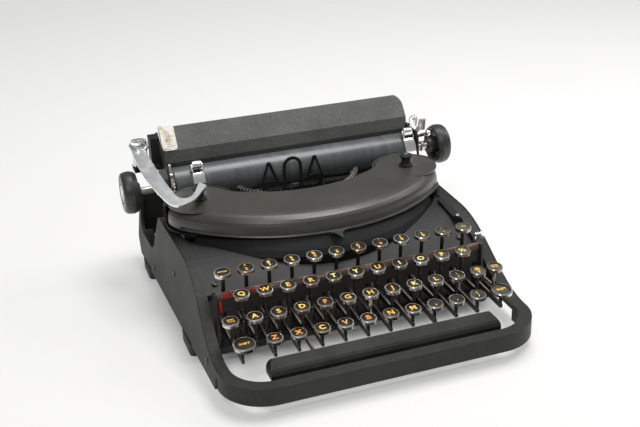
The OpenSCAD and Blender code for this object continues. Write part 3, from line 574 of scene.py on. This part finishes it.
def key_words(label, x, y, z):
    """One or two legends for a label."""
    parts = label.split("|")
    small = max(len(part) for part in parts) > 2
    if len(parts) == 1:
        return [legend(parts[0], x, y, z, WORD if small else LETTER)]
    size, gap = WORD_OF_TWO if small else SIGN_OF_TWO
    return [legend(parts[0], x, y, z, size, gap), legend(parts[1], x, y, z, size, -gap)]


for row, (y, z, first, labels) in ROWS.items():
    made = []
    for i, label in enumerate(labels):
        x = FIRST_X + (first + i) * PITCH
        words = key_words(label, x, y * MM, z * MM)
        if label == "H":
            finished(joined(words, "key_h_legend"), legend_gold, "h_key")
        else:
            made += words
    finished(joined(made, row + "_legends"), legend_gold, row)
    print(row, "has", len(made), "legends")

shift_words = [legend("SHIFT", x, SHIFT_Y, SHIFT_Z, 3.5 * MM) for x in SHIFT_X]
finished(joined(shift_words, "shift_legends"), legend_gold, "shift_keys")
back_words = [legend("BACK", *BACKSPACE, 2.3 * MM, 1.2 * MM),
              legend("SPACE", *BACKSPACE, 2.2 * MM, -1.3 * MM)]
finished(joined(back_words, "backspace_legend"), legend_gold, "backspace")

# %% [markdown]
# ## Two dark lenses
# The H key and the backspace key are each a single CAD piece, plated all over,
# so their black disc is laid on top: a circle, extruded upwards again and again
# and drawn in each time, until it follows the dome.

# %% Lenses
DISC_R, DISC_FOOT = 5.65, -1.1
DOME = ((5.6, -0.66), (5.42, -0.50), (4.93, -0.27), (3.95, -0.11), (2.35, -0.02), (0.6, 0.03))


def lens(name, where, body):
    """A domed disc; DOME gives its radius and height step by step, in mm."""
    deselect()
    bpy.ops.mesh.primitive_circle_add(vertices=48, radius=DISC_R * MM, fill_type="NGON",
                                      location=(0, 0, DISC_FOOT * MM))
    piece = started(name)
    bpy.ops.object.mode_set(mode="EDIT")
    bpy.ops.mesh.select_all(action="SELECT")
    radius, height = DISC_R, DISC_FOOT
    for wide, tall in DOME:
        rise = (0, 0, (tall - height) * MM)
        bpy.ops.mesh.extrude_region_move(TRANSFORM_OT_translate={"value": rise})
        bpy.ops.transform.resize(value=(wide / radius, wide / radius, 1))
        radius, height = wide, tall
    bpy.ops.mesh.select_all(action="SELECT")
    bpy.ops.mesh.normals_make_consistent(inside=False)
    done_editing(piece, 0.9)
    piece.data.transform(Matrix.Translation(where) @ Matrix.Rotation(KEY_LEAN, 4, "X"))
    return finished(piece, key_disc, body)


lens("key_h_lens", H_KEY, "h_key")
lens("backspace_lens", BACKSPACE, "backspace")
print("lenses stand", DOME[-1][1], "mm above the disc")

# %% [markdown]
# ## Screws
# Sheet metal of this age is held by slotted screws. One is modelled by hand:
# a short cylinder, its rim bevelled, and the slot pressed in by picking the
# middle strip of the top and moving it down. Copies of it are turned and
# placed wherever the real one shows them.

# %% A slotted screw
RIM_BEVEL, SLOT_HALF, SLOT_DEPTH = 0.16, 0.13, 0.55
UPWARD = 0.9


def slotted_screw(name, radius, height):
    """A screw head that stands on z = 0 and looks up."""
    deselect()
    bpy.ops.mesh.primitive_cylinder_add(vertices=24, radius=radius, depth=height,
                                        location=(0, 0, height / 2))
    piece = started(name)
    pick_faces(piece, lambda face: face.normal.z > UPWARD)
    bpy.ops.mesh.bevel(offset=radius * RIM_BEVEL, segments=2)
    half = radius * SLOT_HALF
    for side in (-half, half):
        bpy.ops.mesh.select_all(action="SELECT")
        bpy.ops.mesh.bisect(plane_co=(0, side, 0), plane_no=(0, 1, 0))
    bpy.ops.object.mode_set(mode="OBJECT")
    pick_faces(piece, lambda face: face.normal.z > UPWARD
               and abs(face.calc_center_median().y) < half)
    down = (0, 0, -height * SLOT_DEPTH)
    bpy.ops.mesh.extrude_region_move(TRANSFORM_OT_translate={"value": down})
    return done_editing(piece, 0.5)


def copy_of(piece, name, where, turn=(0, 0, 0)):
    """A copy with its own mesh, turned about X, Y and Z and moved to where."""
    twin = piece.copy()
    twin.data = piece.data.copy()
    twin.name = name
    twin.data.name = name
    bpy.context.scene.collection.objects.link(twin)
    spin = Matrix.Translation(where)
    for axis, angle in zip("ZYX", reversed(turn)):
        spin = spin @ Matrix.Rotation(angle, 4, axis)
    twin.data.transform(spin)
    return twin


# %% [markdown]
# ## Where the side panels are
# The side panels flare outwards and lean in, so a point on one is easiest to
# give by how far it lies along the panel and how far up it. One matrix turns
# that into the machine's own frame, and the left side is its mirror image.

# %% The panels' planes
HALF_W, FRONT_Y, FOOT_H = 131.5 * MM, -155.5 * MM, 10 * MM
FLARE, LEAN = math.radians(1.83), math.radians(7.1)
PANEL = (Matrix.Translation((HALF_W, FRONT_Y, FOOT_H)) @ Matrix.Rotation(-FLARE, 4, "Z")
         @ Matrix.Rotation(-LEAN, 4, "Y"))
OUTWARD = Matrix.Rotation(math.radians(90), 4, "Y")


def mirrored(piece, name):
    """The same piece on the other side of the machine."""
    twin = copy_of(piece, name, (0, 0, 0))
    twin.data.transform(Matrix.Scale(-1, 4, (1, 0, 0)))
    twin.data.flip_normals()
    return twin


print("panel plane ready, its far end at", PANEL @ Vector((0, 0.311, 0)))

# %% [markdown]
# Three screws sit in each side panel and one on each side of the deck.
# Smaller ones hold the cover's knobs, the latch and the card holders. The two
# patterns are removed once the copies stand.

# %% Screws in their places
screw = slotted_screw("screw_pattern", 2.6 * MM, 1.2 * MM)
small_screw = slotted_screw("small_screw_pattern", 1.7 * MM, 0.9 * MM)
SUNK = -0.4 * MM
PANEL_SCREWS = ((0.1694, 0.035, 0.7), (0.243, 0.007, 2.0), (0.062, 0.0105, 1.2))
DECK_SLOPE, LATCH_LEAN = math.radians(26), math.radians(8)
SPOOL_X, SPOOL_Y, KNOB_TOP = 98 * MM, 47 * MM, 105.8 * MM


def panel_screw(u, w, spin):
    """A screw u along the right panel and w up it, with its slot turned by spin."""
    head = copy_of(screw, "s", (0, 0, SUNK))
    head.data.transform(PANEL @ Matrix.Translation((0, u, w)) @ OUTWARD
                        @ Matrix.Rotation(spin, 4, "Z"))
    return head


right_screws = [panel_screw(*values) for values in PANEL_SCREWS]
left_screws = [mirrored(head, "s") for head in right_screws]
finished(joined(right_screws + left_screws, "panel_screws"), dark_screw, "frame")

lip_screw = copy_of(screw, "s", (-0.1095, -0.0398, 0.0565), (DECK_SLOPE, 0, 0.5))
lip_screws = [lip_screw, mirrored(lip_screw, "s")]
finished(joined(lip_screws, "deck_screws"), dark_screw, "frame")

knob_screws = [copy_of(small_screw, "s", (side * SPOOL_X, SPOOL_Y, KNOB_TOP), (0, 0, 0.6 * side))
               for side in (-1, 1)]
finished(joined(knob_screws, "cover_knob_screws"), nickel, "frame")
latch_screw = copy_of(small_screw, "latch_screw", (0.1148, -0.02543, 0.0704),
                      (LATCH_LEAN, 0, 0.9))
finished(latch_screw, chrome, "frame")

holder_screws = [copy_of(small_screw, "s", (side * 0.028, 0.0882, z),
                         (math.radians(90), 0, 0.4 + 30 * z))
                 for side in (-1, 1) for z in (0.056, 0.068)]
finished(joined(holder_screws, "holder_screws"), nickel, "frame")
bpy.data.objects.remove(screw)
bpy.data.objects.remove(small_screw)
print("screws placed")

# %% [markdown]
# ## The groove along each shoulder
# Where the side panel is folded into its flange runs a groove like a drawn bead,
# shown as a thin dark line of painted shade. It ends where the carriage's notch
# begins. A small six-sided section is extruded step by step along the shoulder,
# as a wire would be laid.

# %% Wires laid along a path
def wire(name, radius, path):
    """A thin closed rod that follows the points of path."""
    deselect()
    first = Vector(path[1]) - Vector(path[0])
    aim = first.to_track_quat("Z", "Y").to_euler()
    bpy.ops.mesh.primitive_circle_add(vertices=6, radius=radius, fill_type="NGON",
                                      location=path[0], rotation=aim)
    piece = started(name)
    bpy.ops.object.mode_set(mode="EDIT")
    bpy.ops.mesh.select_all(action="SELECT")
    for here, there in zip(path, path[1:]):
        step = Vector(there) - Vector(here)
        bpy.ops.mesh.extrude_region_move(TRANSFORM_OT_translate={"value": step})
    bpy.ops.mesh.select_all(action="SELECT")
    bpy.ops.mesh.normals_make_consistent(inside=False)
    return done_editing(piece, 0.9)


def curve_through(a, b, c, d, steps):
    """Points on a curve from a to d, drawn towards b and c."""
    points = []
    for i in range(steps + 1):
        t = i / steps
        s = 1 - t
        points.append(tuple(s**3 * p + 3 * s * s * t * q + 3 * s * t * t * r + t**3 * w
                            for p, q, r, w in zip(a, b, c, d)))
    return points


GROOVE_IN, GROOVE_UP = -1.1 * MM, 0.05
shoulder = curve_through((38, 15), (84, 15), (100, 62), (150, 62), 14)
shoulder += [(218, 62.5), (226.5, 62.2)]
groove_path = [PANEL @ Vector((GROOVE_IN, u * MM, (w + GROOVE_UP) * MM)) for u, w in shoulder]
# Painted shade: the dark rod stands for the shade inside the groove.
groove = wire("groove", 0.32 * MM, groove_path)
finished(joined([groove, mirrored(groove, "s")], "shoulder_grooves"), seam_dark, "frame")
print("grooves have", len(groove_path), "points each")

# %% [markdown]
# ## Rims behind the round lids
# Behind each lid the spool cup's rim stands as high as the lid, with a gap
# between them that is drawn as a dark line of painted shade. Each line is a
# torus, cut in half with bisect, and moved to its place round the spool.

# %% Lid rims
RIM_R, RIM_THICK, RIM_Z = 30.75, 0.75, 94.35
GAP_R, GAP_THICK, GAP_Z = 29.1, 0.9, 93.6


def rear_arc(side, radius, thickness, z):
    """The rear half of a thin torus round the lid on one side, in mm."""
    deselect()
    bpy.ops.mesh.primitive_torus_add(major_radius=radius * MM, minor_radius=thickness * MM,
                                     major_segments=96, minor_segments=8, location=(0, 0, 0))
    piece = started("s")
    bpy.ops.object.mode_set(mode="EDIT")
    bpy.ops.mesh.select_all(action="SELECT")
    bpy.ops.mesh.bisect(plane_co=(0, MM, 0), plane_no=(0, 1, 0), use_fill=True, clear_inner=True)
    bpy.ops.mesh.select_all(action="SELECT")
    bpy.ops.transform.translate(value=(side * SPOOL_X, SPOOL_Y, z * MM))
    return done_editing(piece, 1.2)


rims = [rear_arc(side, RIM_R, RIM_THICK, RIM_Z) for side in (-1, 1)]
finished(joined(rims, "cup_rims"), cover_enamel, "frame")
# Painted shade: a dark half ring stands for the shade in the gap round each lid.
gaps = [rear_arc(side, GAP_R, GAP_THICK, GAP_Z) for side in (-1, 1)]
finished(joined(gaps, "lid_gaps"), seam_dark, "frame")
print("rims and gaps round the lids")

# %% [markdown]
# ## The scale in front of the platen
# A blackened strip with white divisions runs along the carriage just below the
# platen, so the typist can find a column. The strip is a stretched cube with
# bevelled edges. Each division is a thin bar of the same kind without bevels,
# longer at every fifth and tenth.

# %% Carriage scale
def bar_piece(name, low, high, edge=0.0):
    """A bar between two corners, bevelled where edge is given."""
    deselect()
    middle = [(a + b) / 2 for a, b in zip(low, high)]
    bpy.ops.mesh.primitive_cube_add(size=1, location=middle)
    piece = bpy.context.object
    piece.scale = [b - a for a, b in zip(low, high)]
    piece = started(name)
    if edge:
        bpy.ops.object.mode_set(mode="EDIT")
        bpy.ops.mesh.select_all(action="SELECT")
        bpy.ops.mesh.bevel(offset=edge, segments=2, affect="EDGES")
    return done_editing(piece, 0.7)


STRIP_FRONT, STRIP_BACK = 89.6 * MM, 90.2 * MM
DIVISIONS, FIRST_LINE, LINE_STEP, LINE_TOP = 86, -77 * MM, 2.17 * MM, 76 * MM
HALF_LINE, PROUD, SET_IN = 0.14 * MM, 0.04 * MM, 0.1 * MM
strip = bar_piece("carriage_scale", (-0.079, STRIP_FRONT, 0.0685), (0.1115, STRIP_BACK, 0.0765),
                  0.15 * MM)
finished(strip, shroud_enamel, "carriage")
lines = []
for i in range(DIVISIONS):
    x = FIRST_LINE + i * LINE_STEP
    tall = 4.6 * MM if i % 10 == 0 else (3.4 * MM if i % 5 == 0 else 2.2 * MM)
    lines.append(bar_piece("s", (x - HALF_LINE, STRIP_FRONT - PROUD, LINE_TOP - tall),
                           (x + HALF_LINE, STRIP_FRONT + SET_IN, LINE_TOP)))
finished(joined(lines, "carriage_scale_lines"), scale_white, "carriage")
print("scale has", len(lines), "divisions")

# %% [markdown]
# ## Felts
# Scraps of red felt are glued to the front of the comb at its left end, where
# they quieten the keys. Each is a bevelled bar in a rough, fibrous red.

# %% Felts
def felt_finish():
    material, tree, shader = new_finish("felt_red", 0.95, specular=0.1)
    fibres = noise(tree, 900, 5, 0.7, seed=6.0)
    tree.links.new(ramp(tree, fibres, ((0.35, (0.22, 0.012, 0.010)), (0.65, (0.62, 0.060, 0.045)))),
                   shader.inputs["Base Color"])
    bump(tree, shader, fibres, 0.0002, 0.8, 0)
    return material


felt_red = felt_finish()
FELTS = (((-109.0, -67.1, 56.2), (-105.6, -65.9, 60.4)),
         ((-104.8, -67.0, 57.0), (-102.0, -65.9, 60.7)),
         ((-87.6, -66.9, 57.2), (-84.6, -65.9, 60.6)),
         ((-113.4, -67.2, 43.6), (-111.2, -65.9, 54.4)))
felts = [bar_piece("s", [v * MM for v in low], [v * MM for v in high], 0.4 * MM)
         for low, high in FELTS]
finished(joined(felts, "comb_felts"), felt_red, "frame")
print("felts:", len(felts))

# %% [markdown]
# ## Graduations on the paper guide
# The clip on the paper table carries short dark lines. They are bars again,
# laid on the clip's leaning face.

# %% Guide graduations
TABLE_LEAN = math.atan2(18.5, 14)
CLIP = Matrix.Translation((-0.1128, 0.124, 0.115)) @ Matrix.Rotation(TABLE_LEAN, 4, "X")
MARK_LEFT, MARK_WIDE, MARK_STEP, MARK_LOW, MARK_TOP = 4.5, 0.35, 1.9, 1.88, 1.94
marks = []
for i in range(9):
    right = MARK_LEFT + (7.5 if i % 5 == 0 else 4.5)
    start = 4 + MARK_STEP * i
    mark = bar_piece("s", (MARK_LEFT * MM, start * MM, MARK_LOW * MM),
                     (right * MM, (start + MARK_WIDE) * MM, MARK_TOP * MM))
    mark.data.transform(CLIP)
    marks.append(mark)
finished(joined(marks, "guide_graduations"), worn_ink, "guide")
print("graduations:", len(marks))

# %% [markdown]
# ## Type slugs
# Each type bar ends in a slug with two raised characters, one above the other.
# The letters are text again, thickened, and laid on the slug's face. The forty
# bars stand in a fan, and each pair is turned to its own bar.

# %% Slugs
BAR_COUNT, BAR_FAN, PIVOT_R, PIVOT_Z = 40, 68.0, 26.0, 45.0
BAR_L = math.hypot(PIVOT_R, 95.0 - PIVOT_Z)
REST_LEAN = math.asin((61.0 - PIVOT_R) / BAR_L)
HEAD = Vector((0, -PIVOT_R - BAR_L * math.sin(REST_LEAN),
               PIVOT_Z + BAR_L * math.cos(REST_LEAN))) * MM
SLUG = Matrix.Translation(HEAD) @ Matrix.Rotation(REST_LEAN, 4, "X")
FACE = Matrix.Rotation(math.radians(-90), 4, "X")
SLUG_BACK, UPPER_SIGN, LOWER_SIGN = 2.85 * MM, -3.6 * MM, 0.4 * MM
PLATEN_FRONT = 91.5 * MM
SIGNS = "QAZ2WSX3EDC4RFV5TGBHYNU6JM7IK8OL9PQAZ0WS"


def type_face(sign, along):
    """One raised character on the slug's back face."""
    raised = lettering(sign, 2.6 * MM, 0.2 * MM, 0.0, 1)
    raised.data.transform(SLUG @ Matrix.Translation((0, SLUG_BACK, along)) @ FACE)
    return raised


slugs = []
for i in range(BAR_COUNT):
    angle = math.radians(-BAR_FAN + i * 2 * BAR_FAN / (BAR_COUNT - 1))
    fan = Matrix.Translation((0, PLATEN_FRONT, 0)) @ Matrix.Rotation(angle, 4, "Z")
    pair = [type_face(SIGNS[i], UPPER_SIGN), type_face(SIGNS[i].lower(), LOWER_SIGN)]
    for face in pair:
        face.data.transform(fan)
    if i == BAR_COUNT // 2:
        finished(joined(pair, "type_slug_h"), slug_metal, "h_typebar")
    else:
        slugs += pair
finished(joined(slugs, "type_slugs"), slug_metal, "frame")
print("slugs:", len(slugs), "characters")

# %% [markdown]
# ## Camera
# The camera stands where the photographer stood: in front, to the left and
# above, with a short telephoto lens and a slight roll.

# %% Camera
CAMERA_AT, LENS = (-0.2546, -0.7294, 0.4217), 54.99
VIEW_RIGHT = Vector((0.9403, -0.3387, -0.0341)).normalized()
VIEW_BACK = Vector((-0.29738, -0.86607, 0.40185)).normalized()
VIEW_UP = VIEW_BACK.cross(VIEW_RIGHT).normalized()
camera_data = bpy.data.cameras.new("camera")
camera = bpy.data.objects.new("camera", camera_data)
bpy.context.scene.collection.objects.link(camera)
turn = Matrix((VIEW_RIGHT, VIEW_UP, VIEW_BACK)).transposed().to_4x4()
camera.matrix_world = Matrix.Translation(CAMERA_AT) @ turn
camera_data.lens = LENS
camera_data.sensor_width = 36.0
camera_data.clip_start = 0.01
camera_data.clip_end = 50.0
bpy.context.scene.camera = camera
print("camera lens", camera_data.lens, "mm")

# %% [markdown]
# ## Floor and light
# The backdrop is a sheet of pale paper. Its own faint glow is seen only by the
# camera and in reflections, so it brightens the paper and not the machine. The
# glow grows towards the back and fades out under the machine.

# %% Floor
deselect()
bpy.ops.mesh.primitive_plane_add(size=12.0)
floor = started("floor")
paper, tree, shader = new_finish("backdrop_paper", 0.9, specular=0.1)
path = tree.nodes.new("ShaderNodeLightPath")
seen = maths(tree, "ADD", path.outputs["Is Camera Ray"], path.outputs["Is Glossy Ray"])
spot = parts_of(tree, place(tree))
across = ramp(tree, maths(tree, "ABSOLUTE", spot["X"]), ((0.105, grey(0)), (0.150, grey(1))))
ahead = ramp(tree, maths(tree, "MULTIPLY", spot["Y"], -1.0), ((0.055, grey(0)), (0.085, grey(1))))
behind = ramp(tree, spot["Y"], ((0.130, grey(0)), (0.190, grey(1))))
open_floor = maths(tree, "ADD", maths(tree, "ADD", across, ahead), behind)
seen = maths(tree, "MULTIPLY", seen, open_floor)
tree.links.new(blend(tree, path.outputs["Is Camera Ray"], (0.80, 0.79, 0.78), (0.46, 0.455, 0.45)),
               shader.inputs["Base Color"])
shader.inputs["Emission Color"].default_value = (1.0, 0.995, 0.99, 1)
far = ramp(tree, maths(tree, "MULTIPLY", spot["Y"], 0.4), ((0.10, grey(0.38)), (0.80, grey(0.47))))
tree.links.new(maths(tree, "MULTIPLY", seen, far), shader.inputs["Emission Strength"])
floor.data.materials.append(paper)
print("floor laid")

# %% [markdown]
# A lamp overhead draws the highlight along the cover, a smaller one on the left
# throws the soft shadows of the keys, a third lights the right side, and the
# pale world fills the rest.

# %% Lamps
AIM = Vector((0, 0, 0.06))


def soft_lamp(name, where, size, power):
    """A rectangular lamp that looks at the machine."""
    data = bpy.data.lights.new(name, "AREA")
    data.shape = "RECTANGLE"
    data.size, data.size_y = size
    data.energy = power
    lamp = bpy.data.objects.new(name, data)
    bpy.context.scene.collection.objects.link(lamp)
    lamp.location = where
    lamp.rotation_mode = "QUATERNION"
    lamp.rotation_quaternion = (Vector(where) - AIM).to_track_quat("Z", "Y")
    return lamp


soft_lamp("top_lamp", (0.32, 0.16, 1.5), (0.9, 0.6), 20)
soft_lamp("left_lamp", (-0.6, -1.0, 1.35), (0.3, 0.3), 7)
soft_lamp("right_lamp", (1.2, 0.1, 1.0), (0.6, 0.6), 6)

world = bpy.data.worlds.new("studio")
bpy.context.scene.world = world
world.use_nodes = True
sky = world.node_tree.nodes["Background"]
sky.inputs["Color"].default_value = (0.93, 0.94, 0.96, 1)
sky.inputs["Strength"].default_value = 0.31
bpy.context.scene.view_settings.view_transform = "Standard"
print("lit")
